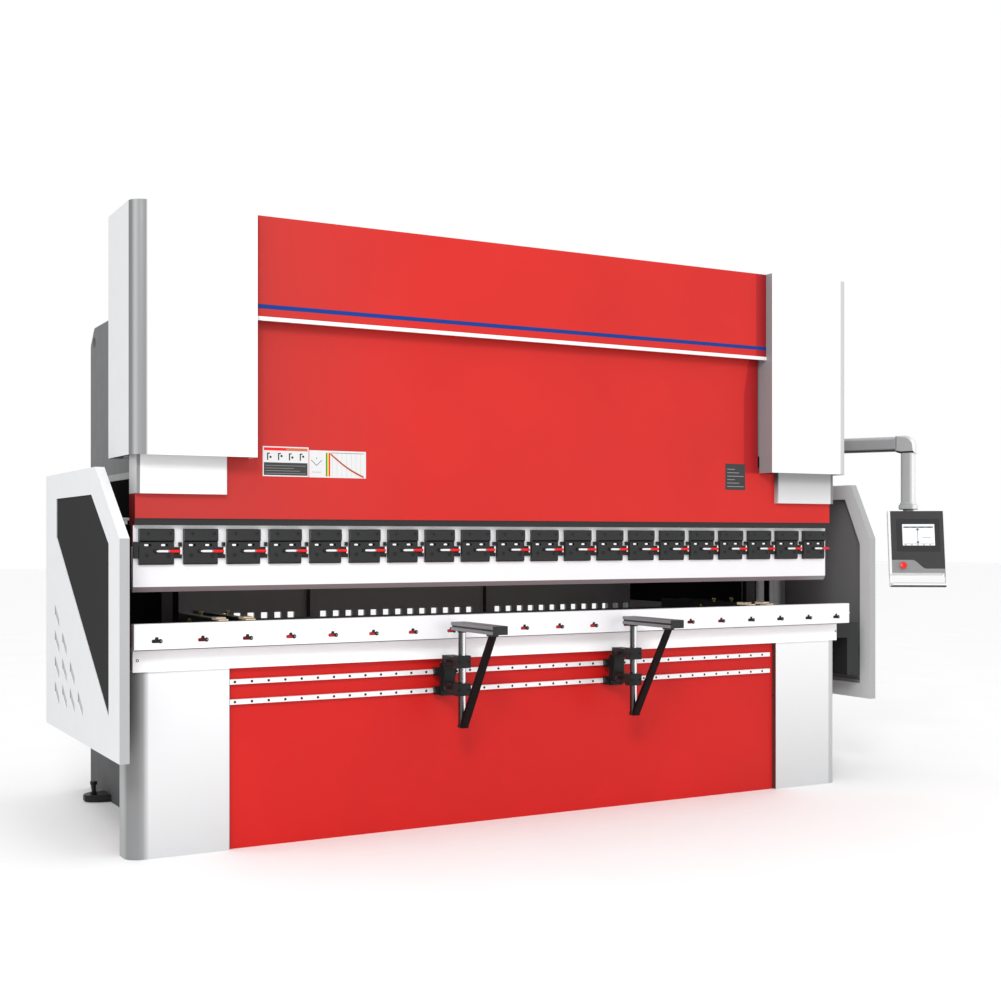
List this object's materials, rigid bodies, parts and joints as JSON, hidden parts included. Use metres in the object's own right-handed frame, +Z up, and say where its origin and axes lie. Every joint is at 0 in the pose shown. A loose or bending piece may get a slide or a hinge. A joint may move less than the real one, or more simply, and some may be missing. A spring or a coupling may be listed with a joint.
{
  "type": "hydraulic press brake",
  "caption": "CNC bending machine with C-frame sides, a sliding ram over a keyholed bed, side guards, sheet rests on rails, a rear gauge and a swing-out control panel.",
  "frame": {"origin": "on the floor, at the middle of the bed's length, straight below the bend line", "axes": "+X to the operator's right along the bed, +Y to the rear, +Z up"},
  "size_m": [5.0389, 2.485, 2.872],
  "materials": {
    "white_paint": "satin white powder coat",
    "red_paint": "satin red powder coat",
    "grey_paint": "satin dark grey paint",
    "black_paint": "satin black paint",
    "ground_steel": "ground bright steel",
    "chrome_rod": "polished",
    "dark_pane": "smoked glossy sheet",
    "aluminium_profile": "anodised profile",
    "arm_paint": "satin light grey paint",
    "pendant_paint": "satin light grey housing",
    "red_plastic": "red lever grips and stop button",
    "dark_plastic": "dark plugs, caps and bezel",
    "blue_paint": "satin blue stripe",
    "screen_sheet": "lit screen behind a glossy sheet",
    "brass_knob": "turned",
    "cream_tip": "cream anodised finger tips"
  },
  "bodies": {
    "base": {"frame_left": "grey_paint", "frame_right": "grey_paint", "bed_plate": "red_paint", "bed_lower_bar": "ground_steel", "bed_top_bar": "ground_steel", "column_left": "white_paint", "column_right": "white_paint", "rail_upper": "ground_steel", "rail_lower": "ground_steel", "cover_left": "white_paint", "cover_right": "white_paint", "front_panel": "red_paint", "panel_trim": "white_paint", "cylinder_left": "black_paint", "cylinder_right": "black_paint", "rear_panels": "black_paint", "tie_beam": "grey_paint", "rear_foot_left": "black_paint", "rear_foot_right": "black_paint", "gauge_guide_left": "ground_steel", "gauge_guide_right": "ground_steel", "guard_left": "white_paint", "guard_right": "white_paint", "window_left": "dark_pane", "window_right": "dark_pane", "guard_bracket_left": "black_paint", "guard_bracket_right": "black_paint", "pendant_mount": "grey_paint"},
    "ram": {"ram_plate": "red_paint", "rod_left": "chrome_rod", "rod_right": "chrome_rod", "ram_strip": "black_paint", "ram_cap_left": "white_paint", "ram_cap_right": "white_paint", "punch_bar": "ground_steel", "tool_clamps": "black_paint"},
    "gauge": {"gauge_beam": "black_paint", "gauge_fingers_left": "black_paint", "gauge_fingers_right": "black_paint"},
    "carriage_a": {"carriage_left": "black_paint"},
    "rest_a": {"rest_left": "aluminium_profile"},
    "carriage_b": {"carriage_right": "black_paint"},
    "rest_b": {"rest_right": "aluminium_profile"},
    "swing_arm": {"pendant_arm": "arm_paint"},
    "pendant": {"pendant_box": "pendant_paint"}
  },
  "joints": [
    {"name": "ram_slide", "type": "slide", "parent": "base", "child": "ram", "axis": [0, 0, 1], "range_m": [-0.12, 0.06]},
    {"name": "gauge_slide", "type": "slide", "parent": "base", "child": "gauge", "axis": [0, 1, 0], "range_m": [0, 0.45]},
    {"name": "carriage_a_slide", "type": "slide", "parent": "base", "child": "carriage_a", "axis": [1, 0, 0], "range_m": [-0.9, 0.3]},
    {"name": "rest_a_lift", "type": "slide", "parent": "carriage_a", "child": "rest_a", "axis": [0, 0, 1], "range_m": [-0.1, 0.055]},
    {"name": "carriage_b_slide", "type": "slide", "parent": "base", "child": "carriage_b", "axis": [1, 0, 0], "range_m": [-0.35, 0.96]},
    {"name": "rest_b_lift", "type": "slide", "parent": "carriage_b", "child": "rest_b", "axis": [0, 0, 1], "range_m": [-0.1, 0.055]},
    {"name": "arm_swing", "type": "hinge", "parent": "base", "child": "swing_arm", "pos_m": [1.872, 1.586, 1.94], "axis": [0, 0, 1], "range_deg": [0, 55]},
    {"name": "pendant_turn", "type": "hinge", "parent": "swing_arm", "child": "pendant", "pos_m": [2.7465, 0.07132, 1.6], "axis": [0, 0, 1], "range_deg": [-60, 60]}
  ]
}
